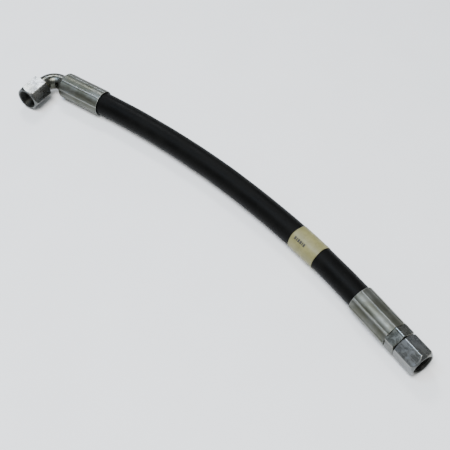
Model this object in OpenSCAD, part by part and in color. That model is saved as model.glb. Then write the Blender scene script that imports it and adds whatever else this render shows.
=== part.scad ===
// Hydraulic hose assembly: a two-wire-braid hose lying in a gentle flat arc, with a crimped straight
// swivel fitting at the +X end and a crimped 90 degree elbow swivel fitting at the -X end.
// Millimetres, +Z up. The hose, both fittings and both nuts lie with their axes in one level plane.
// The ferrules rest on z = 0.

/* [Hose] */
// length of hose showing between the two ferrules, along its centreline
hose_show = 324; // [120:1:1200]
// radius of the bend the hose lies in
hose_bend_r = 850; // [300:5:3000]
// bore of the inner tube
hose_bore = 12.7; // [9:0.1:16]
// wall of the inner tube
tube_wall = 1.8; // [1.2:0.1:2.5]
// thickness of one wire braid
braid_t = 0.6; // [0.4:0.05:1]
// thickness of the rubber between the braids
friction_t = 0.3; // [0.2:0.05:0.6]
// wall of the cover
cover_wall = 1.55; // [1:0.05:3]
// hose length gripped inside each ferrule
hose_grip = 34; // [25:0.5:60]
// how much the crimp squeezes the wall of the inner tube, and of the cover
squeeze = 0.1; // [0.05:0.01:0.3]

/* [Label] */
// distance from the straight ferrule's mouth to the label
label_from = 50; // [10:1:100]
// length of the label along the hose
label_len = 30; // [10:1:60]
// thickness of the label
label_t = 0.25; // [0.1:0.05:0.5]

/* [Ferrules] */
// wall of a crimped ferrule, over a ridge
ferrule_wall = 1.85; // [1.4:0.05:3]
// height of a crimp ridge above the pressed faces
ridge_h = 0.4; // [0.2:0.05:0.8]
// width of a crimp ridge
ridge_w = 1.3; // [0.8:0.1:2.5]
// crimp dies, each leaving one pressed face and one ridge
dies = 8; // [6:2:12]
// turn of the ridges about the axis, straight end
straight_ridge_turn = 5; // [0:1:45]
// turn of the ridges about the axis, elbow end
elbow_ridge_turn = 18; // [0:1:45]
// length of the straight fitting's ferrule
straight_ferrule_len = 42; // [40:0.5:60]
// length of the full-diameter stretch of the elbow's ferrule
elbow_ferrule_len = 46; // [40:0.5:60]
// length of the tapered nose of the elbow's ferrule
elbow_nose_len = 3.5; // [2:0.25:8]
// gripping ribs inside each ferrule
ribs = 4; // [2:1:5]
// depth of a gripping rib
rib_h = 0.6; // [0.3:0.05:0.9]

/* [Stems] */
// wall of the barbed tails
stem_wall = 1.55; // [1.2:0.05:2.5]
// depth of the grooves between the barbs
barb_h = 0.4; // [0.2:0.05:0.7]
// hexagon size across flats, stem and nuts
hex_af = 22.225; // [19:0.005:27]
// length of the stem's own hexagon
stem_hex_len = 10.5; // [6:0.5:16]
// turn of the stem's hexagon about the axis
stem_hex_turn = 35; // [0:1:60]
// length of shank inside a nut, up to the sealing face
shank_len = 10; // [9:0.1:14]
// half angle of the sealing cone
seat_angle = 37; // [30:0.5:45]

/* [Elbow] */
// wall of the sockets that the bent tube is brazed into
socket_wall = 0.75; // [0.5:0.05:2]
// wall of the bent tube
bend_wall = 2.1; // [1.2:0.1:3]
// centreline radius of the bend
elbow_bend_r = 12.5; // [11.5:0.1:30]
// straight tube showing between the bend and the ferrule
elbow_lead = 3.5; // [0.5:0.1:10]
// straight tube showing between the bend and the nut's collar
elbow_drop = 1.4; // [1.4:0.1:30]

/* [Nuts] */
// length of a nut
nut_len = 22.5; // [18:0.5:32]
// minor diameter of the nut's thread
thread_minor_d = 17.5; // [17.3:0.05:17.7]
// how far the shank stays inside the thread, so that the nut goes on over it
shank_clear = 0.25; // [0.15:0.05:0.6]
// radial running clearance between nut and shank
running_gap = 0.08; // [0.03:0.01:0.1]
// gap between the back of a nut and what is behind it
back_gap = 0.4; // [0.3:0.1:1]
// turn of the straight end's nut about its axis
straight_nut_turn = 38; // [0:1:60]
// turn of the elbow's nut about its axis
elbow_nut_turn = -6; // [-30:1:30]
// diameter of the retaining wire
wire_d = 1.5; // [1:0.1:2]

/* [Placement] */
// bounding box centre from the chord's midpoint, along X
box_mid_x = 1.16; // [-60:0.01:60]
// bounding box centre from the chord's midpoint, along Y
box_mid_y = -12.57; // [-60:0.01:60]

/* [Hidden] */
$fn = 96;

// radii between the layers of the hose: where it lies free, and where a ferrule squeezes it
bore_r = [hose_bore / 2, hose_bore / 2 + squeeze];
tube_r = [bore_r[0] + tube_wall, bore_r[0] + tube_wall - squeeze / 2];
inner_braid_r = [tube_r[0] + braid_t, tube_r[1] + braid_t];
friction_r = [inner_braid_r[0] + friction_t, inner_braid_r[1] + friction_t];
outer_braid_r = [friction_r[0] + braid_t, friction_r[1] + braid_t];
cover_r = [outer_braid_r[0] + cover_wall, outer_braid_r[1] + cover_wall - squeeze];
joint_lap = 0.05;

arc = hose_show / hose_bend_r * 180 / PI;
half_arc = arc / 2;
mouth_x = hose_bend_r * sin(half_arc);

thread_r = thread_minor_d / 2;
shank_r = thread_r - shank_clear;
elbow_r = shank_r - socket_wall;
elbow_bore_r = elbow_r - bend_wall;

ridge_r = cover_r[1] + ferrule_wall;
crimp_r = ridge_r - ridge_h;
axis_z = ridge_r;
mouth_len = 1.5;
mouth_r = cover_r[0] + 0.8;
barrel_r = elbow_r + 0.95;
collar_len = 1.5;
collar_r = barrel_r + 0.1;
lock_len = 2.5;
lock_r = barrel_r - 0.9;
lock_from = hose_grip + collar_len;
barrel_from = lock_from + lock_len;

tail_from = 2;
barb_pitch = 4.6;
barbs = 7;
stem_r = bore_r[1] - stem_wall;

hex_r = hex_af / 2 / cos(30);
seat_r = shank_r - 0.3;
wire_r = wire_d / 2;
wire_at = 5.5;
wire_ring_r = shank_r + running_gap / 2;
wire_opening = 24;

socket_len = 5.5;
tail_end = elbow_ferrule_len + elbow_nose_len;
bend_from = tail_end + elbow_lead;
corner = bend_from + elbow_bend_r;
head_from = elbow_bend_r + elbow_drop;
head_collar = 1.2;
elbow_nut_from = head_from + head_collar + back_gap;
head_socket = 5;
braze_w = 0.7;

hex_from = straight_ferrule_len;
straight_nut_from = hex_from + stem_hex_len + back_gap;

nut_bore_r = shank_r + running_gap;
nut_step = shank_len + 0.4;
mouth_chamfer = 1.2;
front_r = hex_af / 2 - 0.5;
front_chamfer = 3;
back_chamfer = 1;
back_r = hex_af / 2;

rubber = [0.05, 0.05, 0.055];
steel = [0.62, 0.62, 0.6];
brass = [0.75, 0.62, 0.32];
cream = [0.72, 0.69, 0.52];

// ---- placement ----

// sets the chord's midpoint so that the origin is under the middle of the whole part
module on_the_floor() {
    translate([-box_mid_x, -box_mid_y, axis_z])
        children();
}

// the straight fitting's axis: +Z out of the ferrule's mouth towards the nut, +Y up
module at_straight_end() {
    on_the_floor()
        translate([mouth_x, 0, 0])
            rotate([90, 0, 90 - half_arc])
                children();
}

// the elbow fitting's axis: +Z out of the ferrule's mouth towards the bend, +X towards its nut, +Y up
module at_elbow_end() {
    on_the_floor()
        translate([-mouth_x, 0, 0])
            rotate([90, 0, half_arc - 90])
                children();
}

// the elbow nut's axis: +Z out of the bend towards the nut's mouth, from the bend's corner
module at_elbow_nut() {
    at_elbow_end()
        translate([0, 0, corner])
            rotate([0, 90, 0])
                children();
}

// ---- shared shapes ----

module ring(r_in, r_out, from, to) {
    translate([0, 0, from])
        difference() {
            cylinder(r = r_out, h = to - from);
            translate([0, 0, -1])
                cylinder(r = r_in, h = to - from + 2);
        }
}

// a layer of the hose: the showing arc, and a straight length inside each ferrule
module hose_arc(r_in, r_out, from_deg, deg) {
    on_the_floor()
        translate([0, -hose_bend_r * cos(half_arc), 0])
            rotate([0, 0, from_deg])
                rotate_extrude(angle = deg)
                    translate([hose_bend_r, 0])
                        difference() {
                            circle(r = r_out);
                            circle(r = r_in);
                        }
}

module hose_layer(r_in, r_out) {
    hose_arc(r_in[0], r_out[0], 90 - half_arc, arc);
    at_straight_end()
        ring(r_in[1], r_out[1], -joint_lap, hose_grip);
    at_elbow_end()
        ring(r_in[1], r_out[1], -joint_lap, hose_grip);
}

// the rings inside a ferrule that bite the cover
module grip_ribs() {
    pitch = hose_grip / (ribs + 0.5);
    for (i = [1 : ribs])
        translate([0, 0, i * pitch])
            rotate_extrude()
                polygon([[cover_r[1] - rib_h, -0.5], [cover_r[1] - rib_h, 0.5], [cover_r[1], 1.2],
                         [cover_r[1], -1.2]]);
}

// the pressed outside of a ferrule: flats left by the dies with a ridge between each pair
module crimped_bar(length, turn) {
    linear_extrude(length)
        rotate([0, 0, turn])
            union() {
                circle(r = crimp_r);
                intersection() {
                    circle(r = ridge_r);
                    for (i = [0 : dies - 1])
                        rotate([0, 0, i * 360 / dies])
                            translate([0, -ridge_w / 2])
                                square([ridge_r + 1, ridge_w]);
                }
            }
}

// the space inside a ferrule: flared mouth, hose bore, lock ring and nose bore
module ferrule_bore(length) {
    rotate_extrude()
        polygon([[0, -1], [mouth_r, -1], [mouth_r, 0.4], [cover_r[1], mouth_len],
                 [cover_r[1], lock_from], [lock_r, lock_from], [lock_r, barrel_from],
                 [barrel_r, barrel_from], [barrel_r, length + 1], [0, length + 1]]);
}

// the outside limit of a ferrule along its length, with a small edge at the mouth
module ferrule_limit(length, nose_len, tip_r) {
    rotate_extrude()
        polygon([[0, 0], [ridge_r - 0.3, 0], [ridge_r, 0.3], [ridge_r, length], [tip_r, length + nose_len],
                 [0, length + nose_len]]);
}

module ferrule(length, nose_len, tip_r, turn) {
    difference() {
        intersection() {
            crimped_bar(length + nose_len, turn);
            ferrule_limit(length, nose_len, tip_r);
        }
        ferrule_bore(length + nose_len);
    }
    grip_ribs();
}

// the barbed tail that goes into the hose, up to the collar behind the ferrule's lock ring
module tail_profile() {
    difference() {
        translate([stem_r, tail_from])
            square([bore_r[1] - stem_r, hose_grip - tail_from]);
        translate([bore_r[1], tail_from])
            polygon([[-barb_h - 0.3, -1], [1, -1], [1, 1.2], [0, 1.2]]);
        for (i = [0 : barbs - 2])
            translate([bore_r[1], tail_from + 1.2 + i * barb_pitch])
                polygon([[0, 0.8], [-barb_h, barb_pitch - 1], [-barb_h, barb_pitch - 0.4],
                         [0, barb_pitch], [1, barb_pitch], [1, 0.8]]);
    }
    translate([stem_r, hose_grip])
        square([collar_r - stem_r, collar_len]);
    translate([stem_r, lock_from])
        square([lock_r - stem_r, lock_len]);
}

// the shank a nut turns on, with the wire's groove and the sealing cone, from the nut's back face
module shank_profile(from, bore) {
    seat_depth = (seat_r - bore) / tan(seat_angle);
    difference() {
        polygon([[bore, from], [shank_r, from], [shank_r, shank_len - 0.3],
                 [shank_r - 0.3, shank_len], [seat_r, shank_len], [bore, shank_len - seat_depth]]);
        translate([wire_ring_r, wire_at])
            circle(r = wire_r);
    }
}

module wire_ring() {
    rotate([0, 0, wire_opening / 2])
        rotate_extrude(angle = 360 - wire_opening)
            translate([wire_ring_r, wire_at])
                circle(r = wire_r);
}

// the turned limit of a nut: a chamfer at the back, a wider one at the front
module nut_limit() {
    rotate_extrude()
        polygon([[0, 0], [back_r, 0], [hex_r, back_chamfer], [hex_r, nut_len - front_chamfer],
                 [front_r, nut_len], [0, nut_len]]);
}

module nut_bore() {
    rotate_extrude()
        union() {
            polygon([[0, -1], [nut_bore_r, -1], [nut_bore_r, nut_step], [thread_r, nut_step],
                     [thread_r, nut_len - mouth_chamfer], [thread_r + mouth_chamfer, nut_len],
                     [thread_r + mouth_chamfer, nut_len + 1], [0, nut_len + 1]]);
            translate([wire_ring_r, wire_at])
                circle(r = wire_r + running_gap);
        }
}

module swivel_nut(turn) {
    rotate([0, 0, turn])
        difference() {
            intersection() {
                cylinder(r = hex_r, h = nut_len, $fn = 6);
                nut_limit();
            }
            nut_bore();
        }
}

// ---- hose ----

module hose_inner_tube() {
    color(rubber)
        hose_layer(bore_r, tube_r);
}

module hose_inner_braid() {
    color(steel)
        hose_layer(tube_r, inner_braid_r);
}

module hose_friction_layer() {
    color(rubber)
        hose_layer(inner_braid_r, friction_r);
}

module hose_outer_braid() {
    color(steel)
        hose_layer(friction_r, outer_braid_r);
}

module hose_cover() {
    color(rubber)
        difference() {
            hose_layer(outer_braid_r, cover_r);
            at_straight_end()
                grip_ribs();
            at_elbow_end()
                grip_ribs();
        }
}

module hose_label() {
    deg = 180 / PI / hose_bend_r;
    color(cream)
        hose_arc(cover_r[0], cover_r[0] + label_t, 90 - half_arc + label_from * deg, label_len * deg);
}

// ---- straight fitting ----

module straight_ferrule() {
    color(steel)
        at_straight_end()
            ferrule(straight_ferrule_len - 0.5, 0.5, ridge_r - 0.5, straight_ridge_turn);
}

module straight_stem() {
    color(steel)
        at_straight_end() {
            rotate_extrude()
                union() {
                    tail_profile();
                    translate([stem_r, barrel_from])
                        square([barrel_r - stem_r, hex_from + stem_hex_len - barrel_from]);
                    translate([0, straight_nut_from])
                        shank_profile(-back_gap, stem_r);
                }
            difference() {
                intersection() {
                    translate([0, 0, hex_from])
                        rotate([0, 0, stem_hex_turn])
                            cylinder(r = hex_r, h = stem_hex_len, $fn = 6);
                    rotate_extrude()
                        polygon([[0, hex_from], [hex_r, hex_from], [hex_r, hex_from + stem_hex_len - back_chamfer],
                                 [back_r, hex_from + stem_hex_len], [0, hex_from + stem_hex_len]]);
                }
                translate([0, 0, hex_from - 1])
                    cylinder(r = (stem_r + barrel_r) / 2, h = stem_hex_len + 2);
            }
        }
}

module straight_nut_wire() {
    color(steel)
        at_straight_end()
            translate([0, 0, straight_nut_from])
                wire_ring();
}

module straight_swivel_nut() {
    color(steel)
        at_straight_end()
            translate([0, 0, straight_nut_from])
                swivel_nut(straight_nut_turn);
}

// ---- elbow fitting ----

module elbow_ferrule() {
    color(steel)
        at_elbow_end()
            ferrule(elbow_ferrule_len, elbow_nose_len, barrel_r + 0.9, elbow_ridge_turn);
}

// the tail ends in a socket that the bent tube is brazed into
module elbow_tail() {
    color(steel)
        at_elbow_end()
            rotate_extrude()
                difference() {
                    union() {
                        tail_profile();
                        translate([stem_r, barrel_from])
                            square([barrel_r - stem_r, tail_end - barrel_from]);
                    }
                    translate([0, tail_end - socket_len])
                        square([elbow_r, socket_len + 1]);
                }
}

module braze_ring() {
    rotate_extrude()
        polygon([[elbow_r, 0], [elbow_r + braze_w, 0], [elbow_r, braze_w]]);
}

module elbow_tail_braze() {
    color(brass)
        at_elbow_end()
            translate([0, 0, tail_end])
                braze_ring();
}

module elbow_tube() {
    color(steel) {
        at_elbow_end() {
            ring(elbow_bore_r, elbow_r, tail_end - socket_len, bend_from);
            translate([elbow_bend_r, 0, bend_from])
                rotate([90, 0, 0])
                    rotate([0, 0, 90])
                        rotate_extrude(angle = 90)
                            translate([elbow_bend_r, 0])
                                difference() {
                                    circle(r = elbow_r);
                                    circle(r = elbow_bore_r);
                                }
        }
        at_elbow_nut()
            ring(elbow_bore_r, elbow_r, elbow_bend_r, head_from + head_socket);
    }
}

module elbow_head_braze() {
    color(brass)
        at_elbow_nut()
            translate([0, 0, head_from])
                mirror([0, 0, 1])
                    braze_ring();
}

// the brazed head: socket for the tube, wire groove and sealing cone
module elbow_head() {
    color(steel)
        at_elbow_nut()
            translate([0, 0, elbow_nut_from])
                rotate_extrude()
                    difference() {
                        shank_profile(head_from - elbow_nut_from, stem_r);
                        translate([0, head_from - elbow_nut_from - 1])
                            square([elbow_r, head_socket + 1]);
                    }
}

module elbow_nut_wire() {
    color(steel)
        at_elbow_nut()
            translate([0, 0, elbow_nut_from])
                wire_ring();
}

module elbow_swivel_nut() {
    color(steel)
        at_elbow_nut()
            translate([0, 0, elbow_nut_from])
                swivel_nut(elbow_nut_turn);
}

// ---- nodes ----

hose_inner_tube();
hose_inner_braid();
hose_friction_layer();
hose_outer_braid();
hose_cover();
hose_label();
straight_ferrule();
straight_stem();
straight_nut_wire();
straight_swivel_nut();
elbow_ferrule();
elbow_tail();
elbow_tail_braze();
elbow_tube();
elbow_head_braze();
elbow_head();
elbow_nut_wire();
elbow_swivel_nut();
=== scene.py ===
"""Looks of the hydraulic hose assembly: hose, label, crimped ferrules, hexagons, swivel nuts and elbow."""

import bisect
import math
import random

import bpy
from mathutils import Matrix, Vector


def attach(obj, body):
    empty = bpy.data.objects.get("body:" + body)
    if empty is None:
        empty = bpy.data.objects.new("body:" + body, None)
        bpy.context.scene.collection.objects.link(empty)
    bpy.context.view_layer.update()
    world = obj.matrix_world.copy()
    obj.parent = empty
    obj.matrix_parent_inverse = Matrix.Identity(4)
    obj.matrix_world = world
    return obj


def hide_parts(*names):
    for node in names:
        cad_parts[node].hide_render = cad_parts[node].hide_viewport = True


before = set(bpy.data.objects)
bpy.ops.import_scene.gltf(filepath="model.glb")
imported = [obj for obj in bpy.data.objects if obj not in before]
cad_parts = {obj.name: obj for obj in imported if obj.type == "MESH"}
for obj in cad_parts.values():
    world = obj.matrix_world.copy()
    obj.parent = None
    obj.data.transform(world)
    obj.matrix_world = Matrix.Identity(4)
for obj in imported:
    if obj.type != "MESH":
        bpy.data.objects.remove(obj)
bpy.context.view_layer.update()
MM = 0.001
TAU = 2 * math.pi

# ---- sizes, repeated from the CAD, in millimetres ----

HOSE_SHOW = 324
HOSE_BEND_R = 850
BOX_MID = (1.16, -12.57)
AXIS_Z = 12.9
COVER_R = 11.2
GRIPPED_R = 11.05
LABEL_FROM = 50
LABEL_LEN = 30
LABEL_T = 0.25

RIDGE_R = 12.9
CRIMP_R = 12.5
RIDGE_W = 1.3
DIES = 8
MOUTH_R = 12.0
BARREL_R = 8.7
LOCK_R = 7.8
LOCK_FROM = 35.5
BARREL_FROM = 38
STRAIGHT_FERRULE_LEN = 42
ELBOW_FERRULE_LEN = 46
ELBOW_NOSE_LEN = 3.5
STRAIGHT_RIDGE_TURN = 5
ELBOW_RIDGE_TURN = 18

HEX_AF = 22.225
STEM_HEX_LEN = 10.5
STEM_HEX_TURN = 35
STEM_R = 4.9
GRIP_LEN = 34
TAIL_R = 6.45
SHANK_R = 8.5
SHANK_LEN = 10
WIRE_AT = 5.5
WIRE_R = 0.75
RUNNING_GAP = 0.08
BACK_GAP = 0.4

ELBOW_R = 7.75
ELBOW_BORE_R = 5.65
ELBOW_BEND_R = 12.5
BEND_FROM = 53
HEAD_FROM = 13.9
HEAD_SOCKET = 5
BRAZE_HEIGHT = 0.7
ELBOW_NUT_FROM = 15.5

NUT_LEN = 22.5
NUT_STEP = 10.4
BACK_CHAMFER = 1
THREAD_MINOR_R = 8.75
THREAD_MAJOR_R = 9.525
THREAD_PITCH = 25.4 / 16
MOUTH_CHAMFER = 1.2
STRAIGHT_NUT_TURN = 38
ELBOW_NUT_TURN = -6

HALF_ARC = HOSE_SHOW / HOSE_BEND_R / 2
CORNER = BEND_FROM + ELBOW_BEND_R
STRAIGHT_NUT_FROM = STRAIGHT_FERRULE_LEN + STEM_HEX_LEN + BACK_GAP
HEX_R = HEX_AF / 2 / math.cos(math.radians(30))


# ---- places ----

def place(origin, x, y, z):
    """A matrix from a piece's own axes, in millimetres, to the row frame, in metres."""
    turn = Matrix((x, y, z)).transposed().to_4x4()
    return Matrix.Translation(Vector(origin) * MM) @ turn


def end_frames():
    """The straight end, the elbow end and the elbow's nut: +Z out along the fitting, +Y up."""
    s, c = math.sin(HALF_ARC), math.cos(HALF_ARC)
    mouth_x = HOSE_BEND_R * s
    right = (mouth_x - BOX_MID[0], -BOX_MID[1], AXIS_Z)
    left = (-mouth_x - BOX_MID[0], -BOX_MID[1], AXIS_Z)
    corner = (left[0] - CORNER * c, left[1] - CORNER * s, AXIS_Z)
    up = (0, 0, 1)
    straight = place(right, (s, c, 0), up, (c, -s, 0))
    elbow = place(left, (s, -c, 0), up, (-c, -s, 0))
    nut = place(corner, (c, s, 0), up, (s, -c, 0))
    return straight, elbow, nut


AT_STRAIGHT, AT_ELBOW, AT_ELBOW_NUT = end_frames()


def hose_point(along, across=0.0, up=0.0):
    """A point of the lying hose: millimetres from the straight ferrule, out of the bend and up."""
    angle = math.pi / 2 - HALF_ARC + along / HOSE_BEND_R
    r = HOSE_BEND_R + across
    x = r * math.cos(angle) - BOX_MID[0]
    y = r * math.sin(angle) - HOSE_BEND_R * math.cos(HALF_ARC) - BOX_MID[1]
    return Vector((x, y, AXIS_Z + up)) * MM


# ---- camera ----

CAMERA_AZIMUTH = 43.04
CAMERA_ELEVATION = 52.0
CAMERA_ROLL = 1.55
CAMERA_DISTANCE = 0.759
CAMERA_TARGET = (0.02753, -0.01143, 0.0129)
FOCAL_PIXELS = 866.8
FRAME_PIXELS = 450


def make_camera():
    data = bpy.data.cameras.new("camera")
    data.sensor_width = 36
    data.lens = FOCAL_PIXELS * data.sensor_width / FRAME_PIXELS
    camera = bpy.data.objects.new("camera", data)
    bpy.context.scene.collection.objects.link(camera)
    a, e = math.radians(CAMERA_AZIMUTH), math.radians(CAMERA_ELEVATION)
    back = Vector((math.sin(a) * math.cos(e), -math.cos(a) * math.cos(e), math.sin(e)))
    camera.rotation_mode = "QUATERNION"
    turn = (-back).to_track_quat("-Z", "Y").to_matrix().to_4x4()
    roll = Matrix.Rotation(math.radians(CAMERA_ROLL), 4, "Z")
    camera.matrix_world = Matrix.Translation(Vector(CAMERA_TARGET) + back * CAMERA_DISTANCE) @ turn @ roll
    bpy.context.scene.camera = camera


make_camera()


# ---- mesh helpers ----

def new_piece(name, vertices, faces, matrix, body, material, slot, smooth=True, **values):
    """A mesh object from points in millimetres in its own axes; values are float attributes per vertex."""
    mesh = bpy.data.meshes.new(name)
    mesh.from_pydata([Vector(v) * MM for v in vertices], [], faces)
    mesh.validate()
    mesh.polygons.foreach_set("use_smooth", [smooth] * len(mesh.polygons))
    for key, numbers in values.items():
        layer = mesh.attributes.new(key, "FLOAT", "POINT")
        layer.data.foreach_set("value", numbers)
    mesh.materials.append(material)
    obj = bpy.data.objects.new(name, mesh)
    bpy.context.scene.collection.objects.link(obj)
    obj.matrix_world = matrix
    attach(obj, body)
    return obj


def loft(rings, closed_along):
    """Vertices and quads of rings of equal length, joined one to the next and, if asked, last to first."""
    count = len(rings[0])
    vertices = [p for ring in rings for p in ring]
    faces = []
    spans = len(rings) if closed_along else len(rings) - 1
    for i in range(spans):
        a, b = i * count, (i + 1) % len(rings) * count
        for k in range(count):
            n = (k + 1) % count
            faces.append((a + k, a + n, b + n, b + k))
    return vertices, faces


def turned(name, rows, matrix, body, material, slot, columns=180, edge=None):
    """A closed turned piece. rows go once round its section, each (z, radius), where the radius may be a
    function of the angle. edge gives the wear, and in bores the painted shade, at (angle, z, radius)."""
    rings, wear = [], []
    for z, radius in rows:
        ring = []
        for k in range(columns):
            angle = TAU * k / columns
            r = radius(angle) if callable(radius) else radius
            ring.append((r * math.cos(angle), r * math.sin(angle), z))
            wear.append(edge(angle, z, r) if edge else 0.0)
        rings.append(ring)
    vertices, faces = loft(rings, True)
    return new_piece(name, vertices, faces, matrix, body, material, slot, wear=wear)


def ramp(x, low, high):
    """0 below low, 1 above high, smooth between."""
    t = min(1.0, max(0.0, (x - low) / (high - low)))
    return t * t * (3 - 2 * t)


def steps(start, stop, count):
    """count + 1 even values from start to stop."""
    return [start + (stop - start) * i / count for i in range(count + 1)]


def soft_min(a, b, power=110):
    """The smaller of two lengths, with the corner between them rounded off."""
    return (a ** -power + b ** -power) ** (-1 / power)


def between(points, x):
    """Straight-line value at x through (x, y) points in order."""
    keys = [p[0] for p in points]
    i = min(max(bisect.bisect_right(keys, x), 1), len(points) - 1)
    (x0, y0), (x1, y1) = points[i - 1], points[i]
    t = min(1.0, max(0.0, (x - x0) / (x1 - x0)))
    return y0 + (y1 - y0) * t


def hexagon(angle, turn):
    """Radius of a hexagon with softly rounded corners, at an angle."""
    total = 0.0
    for k in range(6):
        c = math.cos(angle - math.radians(turn + 30 + 60 * k))
        if c > 0:
            total += c ** 130
    return HEX_AF / 2 / total ** (1 / 130)


def hex_wear_and_bore_shade(turn, bore):
    """Wear of a hexagon: 1 on its corners, 0 on flats and round parts, and -1 in its bore, for painted shade.
    """
    def value(angle, z, r):
        # inside the bore the value is -1: painted shade that darkens the bore and thread where shade falls
        # inside
        if r < bore:
            return -1.0
        off = (math.degrees(angle) - turn + 30) % 60 - 30
        return (1 - ramp(abs(off), 1.0, 3.2)) * ramp(r, 12.0, 12.5)
    return value


# ---- material helpers ----

class Shader:
    """One material's nodes, made with short calls."""

    def __init__(self, name):
        self.material = bpy.data.materials.new(name)
        self.material.use_nodes = True
        self.tree = self.material.node_tree
        self.tree.nodes.clear()

    def node(self, kind, inputs=None, **settings):
        made = self.tree.nodes.new(kind)
        for key, value in settings.items():
            setattr(made, key, value)
        for key, value in (inputs or {}).items():
            if isinstance(value, bpy.types.NodeSocket):
                self.tree.links.new(value, made.inputs[key])
            else:
                made.inputs[key].default_value = value
        return made

    def place(self, scale, kind="Object"):
        """Texture coordinates, scaled along each axis."""
        source = self.node("ShaderNodeTexCoord").outputs[kind]
        return self.node("ShaderNodeMapping", {"Vector": source, "Scale": scale}).outputs["Vector"]

    def noise(self, vector, scale, detail=3.0, roughness=0.55, distortion=0.0):
        made = self.node("ShaderNodeTexNoise", {"Vector": vector, "Scale": scale, "Detail": detail,
                                                "Roughness": roughness, "Distortion": distortion})
        return made.outputs["Fac"]

    def band(self, value, low, high, start=0.0, stop=1.0):
        """value from low..high to start..stop, smooth and held at the ends."""
        made = self.node("ShaderNodeMapRange", {"Value": value, "From Min": low, "From Max": high,
                                                "To Min": start, "To Max": stop},
                         interpolation_type="SMOOTHSTEP")
        return made.outputs["Result"]

    def math(self, operation, a, b=0.0):
        made = self.node("ShaderNodeMath", operation=operation)
        for socket, value in zip(made.inputs, (a, b)):
            if isinstance(value, bpy.types.NodeSocket):
                self.tree.links.new(value, socket)
            else:
                socket.default_value = value
        return made.outputs["Value"]

    def mix(self, factor, a, b):
        """Colour a at factor 0, b at factor 1."""
        made = self.node("ShaderNodeMix", data_type="RGBA")
        for socket, value in zip((made.inputs[0], made.inputs[6], made.inputs[7]), (factor, a, b)):
            if isinstance(value, bpy.types.NodeSocket):
                self.tree.links.new(value, socket)
            else:
                socket.default_value = value
        return made.outputs[2]

    def bump(self, height, distance, strength=1.0, normal=None):
        inputs = {"Height": height, "Distance": distance, "Strength": strength}
        if normal is not None:
            inputs["Normal"] = normal
        return self.node("ShaderNodeBump", inputs).outputs["Normal"]

    def attribute(self, name):
        return self.node("ShaderNodeAttribute", attribute_name=name).outputs["Fac"]

    def finish(self, **inputs):
        named = {key.replace("_", " "): value for key, value in inputs.items()}
        shader = self.node("ShaderNodeBsdfPrincipled", named)
        self.node("ShaderNodeOutputMaterial", {"Surface": shader.outputs[0]})
        return self.material


def rgb(r, g, b):
    return (r, g, b, 1.0)


# ---- materials ----

def zinc(name, light, olive, blue, roughness, streaks, mottle):
    """Zinc plate: grey with olive and bluish clouds, lines along the bar and small dull spots.

    The wear attribute brightens corners where it is positive and, where it is negative, darkens bores as
    painted shade.
    """
    s = Shader(name)
    plain = s.place((1, 1, 1))
    clouds = s.noise(plain, 70, 3, 0.5)
    patches = s.noise(plain, 210, 4, 0.6, 0.6)
    lines = s.noise(s.place((1600, 1600, 28)), 1, 3, 0.6)
    grain = s.noise(plain, 5200, 2, 0.5)
    # wear attribute: worn corners where positive, painted bore shade where negative
    wear = s.attribute("wear")
    colour = s.mix(s.band(clouds, 0.38, 0.66), olive, light)
    colour = s.mix(s.band(patches, 0.52, 0.72, 0.0, mottle), colour, blue)
    colour = s.mix(s.band(lines, 0.35, 0.75, 0.0, 0.25), colour, light)
    colour = s.mix(s.math("MULTIPLY", wear, 0.55), colour, rgb(0.36, 0.36, 0.34))
    # painted shade: negative wear darkens bores and threads to near black
    colour = s.mix(s.band(wear, -1.0, -0.2, 0.75, 0.0), colour, rgb(0.016, 0.016, 0.012))
    dull = s.band(patches, 0.35, 0.7, roughness - 0.06, roughness + 0.1)
    dull = s.math("ADD", dull, s.band(lines, 0.3, 0.8, -0.05, 0.06))
    dull = s.math("SUBTRACT", dull, s.math("MULTIPLY", wear, 0.08))
    normal = s.bump(lines, 0.00003, streaks)
    normal = s.bump(grain, 0.000012, 0.5, normal)
    normal = s.bump(patches, 0.00012, 0.35, normal)
    return s.finish(Base_Color=colour, Metallic=1.0, Roughness=dull, Normal=normal)


def rubber(name, dark, worn, roughness, wrap):
    """Black rubber with the faint print of the cloth it was cured in, dust and scuffs."""
    s = Shader(name)
    plain = s.place((1, 1, 1))
    along = s.place((1, 1, 1), "UV")
    clouds = s.noise(plain, 45, 3, 0.55)
    specks = s.noise(plain, 900, 3, 0.6)
    grain = s.noise(plain, 3600, 2, 0.5)
    cloth = s.node("ShaderNodeTexBrick", {"Vector": along, "Scale": 1.0, "Color1": rgb(1, 1, 1),
                                          "Color2": rgb(0.8, 0.8, 0.8), "Mortar": rgb(0, 0, 0),
                                          "Mortar Size": 0.12, "Mortar Smooth": 0.9,
                                          "Brick Width": 0.9, "Row Height": 0.45}).outputs["Fac"]
    colour = s.mix(s.band(clouds, 0.4, 0.7, 0.0, 0.6), dark, worn)
    colour = s.mix(s.band(specks, 0.62, 0.8, 0.0, 0.35), colour, rgb(0.02, 0.02, 0.018))
    dull = s.band(clouds, 0.3, 0.7, roughness - 0.05, roughness + 0.08)
    dull = s.math("ADD", dull, s.band(specks, 0.4, 0.8, -0.03, 0.06))
    normal = s.bump(cloth, 0.00004, wrap)
    normal = s.bump(grain, 0.00002, 0.4, normal)
    normal = s.bump(clouds, 0.0003, 0.3, normal)
    return s.finish(Base_Color=colour, Roughness=dull, Normal=normal, Specular_IOR_Level=0.05)


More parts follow.
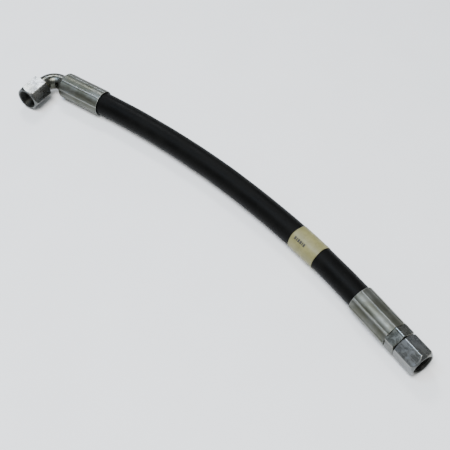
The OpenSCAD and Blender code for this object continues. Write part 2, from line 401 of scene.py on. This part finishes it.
def label_film():
    """Cream printed film, a little yellowed, scuffed and soiled along its edges."""
    s = Shader("label_film")
    plain = s.place((1, 1, 1))
    clouds = s.noise(plain, 90, 4, 0.6)
    stains = s.noise(plain, 260, 4, 0.65, 0.8)
    fibre = s.noise(plain, 2600, 3, 0.6)
    wear = s.attribute("wear")
    colour = s.mix(s.band(clouds, 0.35, 0.7), rgb(0.142, 0.13, 0.044), rgb(0.185, 0.17, 0.062))
    colour = s.mix(s.band(stains, 0.55, 0.75, 0.0, 0.45), colour, rgb(0.1, 0.09, 0.032))
    colour = s.mix(s.math("MULTIPLY", wear, 0.5), colour, rgb(0.09, 0.084, 0.045))
    dull = s.band(stains, 0.3, 0.7, 0.42, 0.6)
    normal = s.bump(fibre, 0.00002, 0.5)
    normal = s.bump(clouds, 0.0002, 0.4, normal)
    return s.finish(Base_Color=colour, Roughness=dull, Normal=normal, Coat_Weight=0.12, Coat_Roughness=0.3)


def ink():
    """Dark print, broken up a little."""
    s = Shader("label_ink")
    plain = s.place((1, 1, 1))
    worn = s.noise(plain, 1800, 3, 0.6)
    colour = s.mix(s.band(worn, 0.5, 0.68), rgb(0.012, 0.011, 0.009), rgb(0.07, 0.064, 0.04))
    normal = s.bump(worn, 0.00001, 0.4)
    return s.finish(Base_Color=colour, Roughness=0.6, Normal=normal)


def wire_braid():
    """Brass-washed steel wires crossing at the braid angle."""
    s = Shader("braid_wire")
    plain = s.place((1, 1, 1))
    tint = s.noise(plain, 150, 3, 0.5)
    one = s.node("ShaderNodeTexWave", {"Vector": plain, "Scale": 520, "Distortion": 0.6},
                 bands_direction="DIAGONAL").outputs["Fac"]
    two = s.node("ShaderNodeTexWave", {"Vector": s.place((1, -1, 1)), "Scale": 520, "Distortion": 0.6},
                 bands_direction="DIAGONAL").outputs["Fac"]
    height = s.math("MAXIMUM", one, two)
    colour = s.mix(s.band(tint, 0.4, 0.7), rgb(0.55, 0.5, 0.38), rgb(0.66, 0.56, 0.34))
    return s.finish(Base_Color=colour, Metallic=1.0, Roughness=s.band(tint, 0.3, 0.7, 0.3, 0.45),
                    Normal=s.bump(height, 0.0001, 0.8))


def spring_wire():
    s = Shader("spring_wire")
    plain = s.place((1, 1, 1))
    lines = s.noise(plain, 900, 3, 0.6)
    colour = s.mix(s.band(lines, 0.4, 0.65), rgb(0.3, 0.3, 0.29), rgb(0.5, 0.5, 0.48))
    return s.finish(Base_Color=colour, Metallic=1.0, Roughness=s.band(lines, 0.3, 0.7, 0.25, 0.4),
                    Normal=s.bump(lines, 0.00002, 0.4))


def braze():
    """Dull gold braze with flux stains."""
    s = Shader("braze_alloy")
    plain = s.place((1, 1, 1))
    pools = s.noise(plain, 420, 4, 0.6, 0.5)
    colour = s.mix(s.band(pools, 0.4, 0.68), rgb(0.4, 0.33, 0.18), rgb(0.62, 0.55, 0.36))
    return s.finish(Base_Color=colour, Metallic=1.0, Roughness=s.band(pools, 0.3, 0.7, 0.3, 0.55),
                    Normal=s.bump(pools, 0.00015, 0.6))


LIGHT = rgb(0.12, 0.123, 0.108)
OLIVE = rgb(0.08, 0.081, 0.062)
BLUE = rgb(0.098, 0.108, 0.122)

ZINC_FERRULE = zinc("zinc_ferrule", LIGHT, OLIVE, BLUE, 0.47, 0.35, 0.3)
FITTING_LIGHT = rgb(0.105, 0.108, 0.098)
FITTING_OLIVE = rgb(0.066, 0.066, 0.052)
FITTING_BLUE = rgb(0.08, 0.092, 0.108)
ZINC_FITTING = zinc("zinc_fitting", FITTING_LIGHT, FITTING_OLIVE, FITTING_BLUE, 0.28, 0.25, 0.4)
NUT_LIGHT = rgb(0.14, 0.146, 0.146)
NUT_OLIVE = rgb(0.118, 0.12, 0.112)
NUT_BLUE = rgb(0.12, 0.136, 0.168)
ZINC_NUT = zinc("zinc_nut", NUT_LIGHT, NUT_OLIVE, NUT_BLUE, 0.3, 0.25, 0.5)
HOSE_RUBBER = rubber("hose_rubber", rgb(0.002, 0.002, 0.0018), rgb(0.004, 0.0039, 0.0034), 0.46, 0.35)
NITRILE = rubber("nitrile", rgb(0.02, 0.02, 0.02), rgb(0.03, 0.03, 0.03), 0.5, 0.0)
LABEL_FILM = label_film()
LABEL_INK = ink()
BRAID_WIRE = wire_braid()
SPRING_WIRE = spring_wire()
BRAZE = braze()


# ---- hose ----

def hose():
    """The cover: a round tube on the lying arc, a little uneven, with its ends just inside the ferrules."""
    tucked = 1.5
    inner = 9.7
    random.seed(7)
    phases = [random.uniform(0, TAU) for _ in range(6)]
    around, spans = 96, 230
    rings, route = [], []
    stations = steps(-tucked, HOSE_SHOW + tucked, spans)
    for s in stations:
        route.append(hose_point(s))
        free = ramp(s, 0, 12) * ramp(HOSE_SHOW - s, 0, 12)
        ring = []
        for k in range(around):
            angle = TAU * k / around
            waver = 0.045 * math.sin(s / 17 + phases[0] + math.sin(angle + phases[1]))
            fine = 0.03 * math.sin(s / 6.1 + phases[2] + 2 * angle)
            waver += fine + 0.02 * math.sin(3 * angle + s / 41 + phases[3])
            r = COVER_R - 0.02 + free * (waver - 0.05)
            ring.append(hose_point(s, r * math.cos(angle), r * math.sin(angle)) / MM)
        rings.append(ring)
    angles = [TAU * k / around for k in range(around)]
    for s in reversed(stations):
        rings.append([hose_point(s, inner * math.cos(a), inner * math.sin(a)) / MM for a in angles])
    vertices, faces = loft(rings, True)
    obj = new_piece("hose", vertices, faces, Matrix(), "hose_assembly", HOSE_RUBBER, "hose_rubber")
    layer = obj.data.uv_layers.new(name="UVMap")
    count = len(stations)
    for face in obj.data.polygons:
        ks = [v % around for v in face.vertices]
        wraps = max(ks) - min(ks) > 1
        for loop, vertex, k in zip(face.loop_indices, face.vertices, ks):
            row = vertex // around
            row = row if row < count else 2 * count - 1 - row
            turn = k + around if wraps and k == 0 else k
            layer.data[loop].uv = (stations[row], turn / around * TAU * COVER_R)
    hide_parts("hose_cover")
    return obj


hose()


def label():
    """The printed band: one turn of film with a lapped seam and slightly uneven ends."""
    random.seed(11)
    phases = [random.uniform(0, TAU) for _ in range(5)]
    around, spans = 144, 44
    outer, inner, wear = [], [], []
    for i in range(spans + 1):
        t = i / spans
        ring, under = [], []
        for k in range(around):
            angle = TAU * k / around
            ends = 0.28 * math.sin(2 * angle + phases[0]) + 0.16 * math.sin(5 * angle + phases[1])
            s = LABEL_FROM + t * LABEL_LEN + (ends - 0.1 if t > 0.5 else -0.6 * ends) * abs(2 * t - 1)
            crease = 0.03 * math.sin(s / 2.3 + 3 * angle + phases[2]) * math.sin(angle * 2 + phases[3])
            seam = 0.12 * ramp(math.cos(angle + 2.2), 0.93, 0.94)
            lifted = 0.08 * ramp(abs(2 * t - 1), 0.93, 1.0) * ramp(math.sin(3 * angle + phases[4]), 0.2, 0.9)
            r = COVER_R + LABEL_T + crease + seam + lifted
            c, u = math.cos(angle), math.sin(angle)
            ring.append(hose_point(s, r * c, r * u) / MM)
            under.append(hose_point(s, (COVER_R - 0.1) * c, (COVER_R - 0.1) * u) / MM)
            wear.append(ramp(abs(2 * t - 1), 0.9, 1.0) * 0.8)
        outer.append(ring)
        inner.append(under)
    vertices, faces = loft(outer + inner[::-1], True)
    obj = new_piece("label", vertices, faces, Matrix(), "hose_assembly", LABEL_FILM, "label_film",
                    wear=wear + [0.0] * len(wear))
    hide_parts("hose_label")


def label_marks():
    """Plain printed blocks in two sizes, along the hose high on the inside of the bend: no letters."""
    vertices, faces = [], []
    blocks = [1.9, 1.0, 1.9, 1.9, 1.0, 1.9]
    lift = LABEL_T + 0.085
    start = LABEL_FROM + LABEL_LEN - 3.5
    for width in blocks:
        cells = 6
        base = len(vertices)
        for i in range(cells + 1):
            for j in range(cells + 1):
                s = start - width * i / cells
                angle = math.radians(130 + 15 * (j / cells - 0.5))
                for r in (COVER_R + lift, COVER_R + lift - 0.12):
                    vertices.append(hose_point(s, r * math.cos(angle), r * math.sin(angle)) / MM)

        def top(i, j):
            return base + 2 * (i * (cells + 1) + j)

        for i in range(cells):
            for j in range(cells):
                a, b, c, d = top(i, j), top(i + 1, j), top(i + 1, j + 1), top(i, j + 1)
                faces.append((a, b, c, d))
                faces.append((a + 1, d + 1, c + 1, b + 1))
        rim = [(i, 0) for i in range(cells)] + [(cells, j) for j in range(cells)]
        rim += [(i, cells) for i in range(cells, 0, -1)] + [(0, j) for j in range(cells, 0, -1)]
        for (i, j), (m, n) in zip(rim, rim[1:] + rim[:1]):
            faces.append((top(i, j), top(i, j) + 1, top(m, n) + 1, top(m, n)))
        start -= width + 0.6
    new_piece("label_marks", vertices, faces, Matrix(), "hose_assembly", LABEL_INK, "label_film",
              smooth=False)


label()
label_marks()


# ---- ferrules ----

def ferrule(name, node, matrix, turn, length, nose):
    """A crimped ferrule: die faces, a ridge between each pair, a rolled mouth and a nose of rows."""
    pitch = 360 / DIES

    def off_ridge(angle):
        return abs((math.degrees(angle) - turn + pitch / 2) % pitch - pitch / 2)

    def pressed(z, limit):
        def radius(angle):
            off = math.radians(off_ridge(angle)) * CRIMP_R
            ridge = 1 - ramp(off, RIDGE_W * 0.32, RIDGE_W * 0.85)
            valley = ramp(off, RIDGE_W * 0.5, RIDGE_W * 0.9) * (1 - ramp(off, RIDGE_W * 0.95, RIDGE_W * 2.2))
            face = 0.05 * math.sin(z / 7 + math.radians(turn)) + 0.1 * ramp(off, 1.5, 5)
            r = CRIMP_R - 0.1 + face + (RIDGE_R - CRIMP_R + 0.05) * ridge - 0.07 * valley
            return soft_min(r, limit, 150)
        return radius

    def wear(angle, z, r):
        off = math.radians(off_ridge(angle)) * CRIMP_R
        return max((1 - ramp(off, 0.3, 0.75)) * 0.9, 0.6 * (1 - ramp(z, 0.2, 0.8))) if r > 12.1 else 0.0

    free = RIDGE_R + 0.3
    limit = [(0, RIDGE_R - 0.55), (0.35, RIDGE_R - 0.2), (1.0, free), (length - 1.2, free)] + nose
    tip_z, tip_r = nose[-1]
    rows = [(z, pressed(z, between(limit, z))) for z in
            steps(0.02, 1.4, 9) + steps(2.2, length - 2.2, 46) + steps(length - 1.6, tip_z - 0.15, 22)]
    rows += [(tip_z - 0.04, tip_r - 0.05), (tip_z, tip_r - 0.2)]
    rows += [(tip_z, BARREL_R + 0.15), (tip_z - 0.15, BARREL_R)]
    rows += [(BARREL_FROM, BARREL_R), (BARREL_FROM, LOCK_R), (LOCK_FROM, LOCK_R), (LOCK_FROM, GRIPPED_R)]
    rows += [(1.9, GRIPPED_R), (1.2, GRIPPED_R + 0.35)]
    rows += [(0.4, MOUTH_R - 0.1), (0.12, MOUTH_R), (0, MOUTH_R + 0.12)]
    obj = turned(name, rows, matrix, "hose_assembly", ZINC_FERRULE, "zinc_ferrule", 384, wear)
    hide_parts(node)


ferrule("ferrule_straight", "straight_ferrule", AT_STRAIGHT, STRAIGHT_RIDGE_TURN, STRAIGHT_FERRULE_LEN,
        [(STRAIGHT_FERRULE_LEN - 0.5, RIDGE_R - 0.15), (STRAIGHT_FERRULE_LEN, RIDGE_R - 0.6)])
ferrule("ferrule_elbow", "elbow_ferrule", AT_ELBOW, ELBOW_RIDGE_TURN, ELBOW_FERRULE_LEN,
        [(ELBOW_FERRULE_LEN - 0.4, RIDGE_R + 0.1), (ELBOW_FERRULE_LEN + 0.3, RIDGE_R - 0.5),
         (ELBOW_FERRULE_LEN + ELBOW_NOSE_LEN - 0.4, BARREL_R + 1.15),
         (ELBOW_FERRULE_LEN + ELBOW_NOSE_LEN, BARREL_R + 0.8)])


# ---- straight stem ----

def shank_rows(start, bore):
    """The shank from start to the sealing face and down its cone, with the wire's groove."""
    seat_r = SHANK_R - 0.3
    seat_depth = (seat_r - bore) / math.tan(math.radians(37))
    rows = [(start, SHANK_R - 0.15), (start + 0.15, SHANK_R)]
    for a in steps(180, 360, 10):
        turn = math.radians(a)
        rows.append((WIRE_AT + WIRE_R * math.cos(turn), SHANK_R + WIRE_R * math.sin(turn)))
    rows += [(SHANK_LEN - 0.3, SHANK_R), (SHANK_LEN - 0.08, SHANK_R - 0.1), (SHANK_LEN, SHANK_R - 0.22)]
    rows += [(SHANK_LEN - 0.03, seat_r - 0.05)]
    rows += [(SHANK_LEN - seat_depth * t, seat_r - (seat_r - bore) * t) for t in steps(0.05, 0.98, 12)]
    rows += [(SHANK_LEN - seat_depth - 0.1, bore)]
    return rows


def straight_stem():
    """Barbed tail, collar, lock groove, hexagon, shank and cone in one turned piece."""
    start, stop = STRAIGHT_FERRULE_LEN, STRAIGHT_FERRULE_LEN + STEM_HEX_LEN

    def outline(z, share=1.0, foot=BARREL_R):
        edges = [(start, HEX_R - 0.35), (start + 0.25, HEX_R + 0.4),
                 (stop - BACK_CHAMFER - 0.25, HEX_R + 0.3), (stop - BACK_CHAMFER, HEX_R),
                 (stop - 0.1, HEX_AF / 2 + 0.1), (stop, HEX_AF / 2 - 0.15)]
        limit = between(edges, z)

        def radius(angle):
            return foot + (soft_min(hexagon(angle, STEM_HEX_TURN), limit) - foot) * share
        return radius

    rows = [(2.0, STEM_R + 0.1), (2.0, TAIL_R - 0.75), (3.0, TAIL_R)]
    for i in range(7):
        z = 3.6 + 4.4 * i
        rows += [(z, TAIL_R), (z + 2.8, TAIL_R - 0.4), (z + 3.4, TAIL_R - 0.4), (z + 3.9, TAIL_R)]
    rows += [(GRIP_LEN, TAIL_R), (GRIP_LEN, BARREL_R + 0.1), (LOCK_FROM, BARREL_R + 0.1), (LOCK_FROM, LOCK_R)]
    rows += [(BARREL_FROM, LOCK_R), (BARREL_FROM, BARREL_R), (start, BARREL_R)]
    rows += [(start + 0.02, outline(start, t)) for t in (0.4, 0.8, 0.97)]
    rows += [(z, outline(z)) for z in steps(start + 0.03, start + 0.6, 6) + steps(start + 1.2, stop - 2.0, 8)]
    rows += [(z, outline(z)) for z in steps(stop - 1.6, stop - 0.02, 16)]
    rows += [(stop, outline(stop, t)) for t in (0.97, 0.8, 0.5, 0.2)]
    base = STRAIGHT_NUT_FROM
    rows += [(base + z, r) for z, r in [(-BACK_GAP, SHANK_R + 0.05)] + shank_rows(-BACK_GAP + 0.05, STEM_R)]
    rows += [(z, STEM_R) for z in (50, 30, 10, 2.2)]
    obj = turned("stem_straight", rows, AT_STRAIGHT, "hose_assembly", ZINC_FITTING, "zinc_fitting", 360,
                 hex_wear_and_bore_shade(STEM_HEX_TURN, STEM_R + 0.2))
    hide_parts("straight_stem")


straight_stem()


# ---- swivel nuts ----

def thread_radius(angle, z):
    """Right-hand internal thread with flats at crest and root, fading out at its inner end."""
    turn = (z / THREAD_PITCH - angle / TAU) % 1
    tooth = ramp(1 - abs(2 * turn - 1), 0.12, 0.88)
    depth = (THREAD_MAJOR_R - THREAD_MINOR_R) * ramp(z, NUT_STEP + 0.4, NUT_STEP + 2)
    return THREAD_MINOR_R + 0.02 + depth * tooth


def swivel_nut(name, node, matrix, body, turn, start):
    """Hexagon chamfered at the back and, wider, at the mouth, and threaded inside."""
    edges = [(0, HEX_AF / 2 - 0.15), (0.1, HEX_AF / 2 + 0.1), (BACK_CHAMFER, HEX_R),
             (BACK_CHAMFER + 0.25, HEX_R + 0.3), (NUT_LEN - 3.3, HEX_R + 0.5), (NUT_LEN - 3.0, HEX_R),
             (NUT_LEN - 0.35, HEX_AF / 2 - 0.2), (NUT_LEN, HEX_AF / 2 - 0.55)]

    def outline(z, share=1.0, foot=0.0):
        limit = between(edges, z)

        def radius(angle):
            return foot + (soft_min(hexagon(angle, turn), limit, 150) - foot) * share
        return radius

    bore = SHANK_R + RUNNING_GAP
    rows = [(0.25, bore), (0.02, bore + 0.25)]
    rows += [(0, outline(0, t, bore + 0.3)) for t in (0.2, 0.6, 0.95)]
    rows += [(z, outline(z)) for z in steps(0.01, 1.6, 16) + steps(2.2, NUT_LEN - 4.6, 12)]
    rows += [(z, outline(z)) for z in steps(NUT_LEN - 4.2, NUT_LEN - 0.02, 40)]
    mouth = THREAD_MINOR_R + MOUTH_CHAMFER
    rows += [(NUT_LEN, outline(NUT_LEN, t, mouth)) for t in (0.8, 0.15)]

    def inside(z):
        cone = mouth - (NUT_LEN - z)
        return lambda angle: max(thread_radius(angle, z), cone)

    thread_rows = 110
    rows += [(z, inside(z)) for z in steps(NUT_LEN - 0.05, NUT_STEP + 0.2, thread_rows)]
    rows += [(NUT_STEP, THREAD_MINOR_R), (NUT_STEP, bore)]
    for a in steps(0, 180, 10):
        c, s = math.cos(math.radians(a)), math.sin(math.radians(a))
        rows.append((WIRE_AT + (WIRE_R + RUNNING_GAP) * c, bore + WIRE_R * s))
    at_nut = matrix @ Matrix.Translation((0, 0, start * MM))
    obj = turned(name, rows, at_nut, body, ZINC_NUT, "zinc_nut", 360, hex_wear_and_bore_shade(turn, THREAD_MAJOR_R + 0.1))
    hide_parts(node)


swivel_nut("nut_straight", "straight_swivel_nut", AT_STRAIGHT, "straight_nut",
           STRAIGHT_NUT_TURN, STRAIGHT_NUT_FROM)
swivel_nut("nut_elbow", "elbow_swivel_nut", AT_ELBOW_NUT, "elbow_nut",
           ELBOW_NUT_TURN, ELBOW_NUT_FROM)


# ---- elbow ----

def elbow_tube():
    """The bent tube, slightly oval and lightly ribbed where the bender gripped it."""
    around = 96
    route = [(0, t, 0) for t in steps(44, BEND_FROM, 6)]
    for a in steps(2, 90, 44):
        turn = math.radians(a)
        route.append((ELBOW_BEND_R * (1 - math.cos(turn)), BEND_FROM + ELBOW_BEND_R * math.sin(turn), turn))
    route += [(t, CORNER, math.pi / 2) for t in steps(ELBOW_BEND_R + 0.5, HEAD_FROM + HEAD_SOCKET, 8)]
    rings, inner, wear = [], [], []
    for x, z, turn in route:
        bend = math.sin(2 * turn)
        ring, under = [], []
        for k in range(around):
            angle = TAU * k / around
            c, s = math.cos(angle), math.sin(angle)
            ripple = 0.05 * bend * ramp(c, 0.3, 1) * math.sin(14 * turn)
            wide = ELBOW_R + bend * (0.12 * s * s - 0.1 * max(0, -c)) + ripple
            for size, out in ((wide, ring), (ELBOW_BORE_R, under)):
                across = size * c
                out.append((x + across * math.cos(turn), size * s, z - across * math.sin(turn)))
            wear.append(0.0)
        rings.append(ring)
        inner.append(under)
    vertices, faces = loft(rings + inner[::-1], True)
    obj = new_piece("tube_elbow", vertices, faces, AT_ELBOW, "hose_assembly", ZINC_FITTING, "zinc_fitting",
                    wear=wear + wear)
    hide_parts("elbow_tube")


def elbow_head():
    """Collar, socket, shank and sealing cone of the brazed head."""
    base = HEAD_FROM - ELBOW_NUT_FROM
    rows = shank_rows(base, STEM_R)
    rows += [(base + HEAD_SOCKET, STEM_R), (base + HEAD_SOCKET, ELBOW_R + 0.02), (base + 0.1, ELBOW_R + 0.02),
             (base, ELBOW_R + 0.15)]
    obj = turned("head_elbow", rows, AT_ELBOW_NUT @ Matrix.Translation((0, 0, ELBOW_NUT_FROM * MM)),
                 "hose_assembly", ZINC_FITTING, "zinc_fitting", 128)
    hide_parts("elbow_head")


def braze_fillet(name, node, matrix, height, side):
    """A hollow-faced ring of braze between a socket's mouth and the tube."""
    random.seed(23)
    phases = [random.uniform(0, TAU) for _ in range(3)]

    def wavy(r):
        def radius(angle):
            return r + 0.04 * math.sin(3 * angle + phases[0]) + 0.03 * math.sin(8 * angle + phases[1])
        return radius

    foot, top = ELBOW_R + 0.02, height * side
    rows = [(0, foot), (0, wavy(ELBOW_R + 0.66)), (0.14 * top, wavy(ELBOW_R + 0.38)),
            (0.34 * top, wavy(ELBOW_R + 0.2)), (0.66 * top, wavy(ELBOW_R + 0.1)),
            (0.95 * top, ELBOW_R + 0.03)]
    obj = turned(name, rows, matrix, "hose_assembly", BRAZE, "braze_alloy", 96)
    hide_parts(node)


elbow_tube()
elbow_head()
TAIL_END = ELBOW_FERRULE_LEN + ELBOW_NOSE_LEN
AT_TAIL_END = AT_ELBOW @ Matrix.Translation((0, 0, TAIL_END * MM))
AT_HEAD = AT_ELBOW_NUT @ Matrix.Translation((0, 0, HEAD_FROM * MM))
braze_fillet("braze_tail", "elbow_tail_braze", AT_TAIL_END, BRAZE_HEIGHT, 1)
braze_fillet("braze_head", "elbow_head_braze", AT_HEAD, BRAZE_HEIGHT, -1)


# ---- CAD nodes that stay ----

KEPT = {
    "hose_inner_tube": NITRILE,
    "hose_friction_layer": NITRILE,
    "hose_inner_braid": BRAID_WIRE,
    "hose_outer_braid": BRAID_WIRE,
    "straight_nut_wire": SPRING_WIRE,
    "elbow_nut_wire": SPRING_WIRE,
    "elbow_tail": ZINC_FITTING,
}


def paint_cad_nodes():
    for name, material in KEPT.items():
        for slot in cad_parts[name].material_slots:
            slot.material = material


paint_cad_nodes()


# ---- floor and light ----

def stage_floor():
    s = Shader("floor")
    grain = s.noise(s.place((1, 1, 1)), 14, 3, 0.5)
    colour = s.mix(s.band(grain, 0.3, 0.7), rgb(0.86, 0.86, 0.855), rgb(0.88, 0.88, 0.875))
    material = s.finish(Base_Color=colour, Roughness=0.75)
    mesh = bpy.data.meshes.new("floor")
    reach = 6
    corners = [(-reach, -reach, 0), (reach, -reach, 0), (reach, reach, 0), (-reach, reach, 0)]
    mesh.from_pydata(corners, [], [(0, 1, 2, 3)])
    mesh.materials.append(material)
    floor = bpy.data.objects.new("floor", mesh)
    bpy.context.scene.collection.objects.link(floor)
    floor.location.z = -0.0002


def area_light(name, azimuth, elevation, distance, size, power, colour=(1, 1, 1)):
    """A soft square light that points at the part; azimuth and elevation as for the camera, in degrees."""
    data = bpy.data.lights.new(name, "AREA")
    data.shape = "RECTANGLE"
    data.size, data.size_y = size
    data.energy = power
    data.color = colour
    light = bpy.data.objects.new(name, data)
    a, e = math.radians(azimuth), math.radians(elevation)
    back = Vector((math.sin(a) * math.cos(e), -math.cos(a) * math.cos(e), math.sin(e)))
    light.location = back * distance
    light.rotation_mode = "QUATERNION"
    light.rotation_quaternion = (-back).to_track_quat("-Z", "Y")
    bpy.context.scene.collection.objects.link(light)


def studio():
    world = bpy.data.worlds.new("studio")
    world.use_nodes = True
    world.node_tree.nodes["Background"].inputs["Color"].default_value = rgb(0.9, 0.95, 1.0)
    world.node_tree.nodes["Background"].inputs["Strength"].default_value = 0.48
    bpy.context.scene.world = world
    area_light("key", 20, 70, 1.7, (0.8, 0.8), 44)
    area_light("back", -122, 47, 1.85, (0.42, 0.36), 14, (0.9, 0.94, 1.0))
    area_light("side", -44, 65, 1.7, (0.5, 0.45), 12, (0.55, 0.74, 1.0))
    area_light("low", 147, 8, 1.8, (1.6, 0.5), 11, (1.0, 0.98, 0.94))


stage_floor()
studio()

bpy.context.view_layer.update()
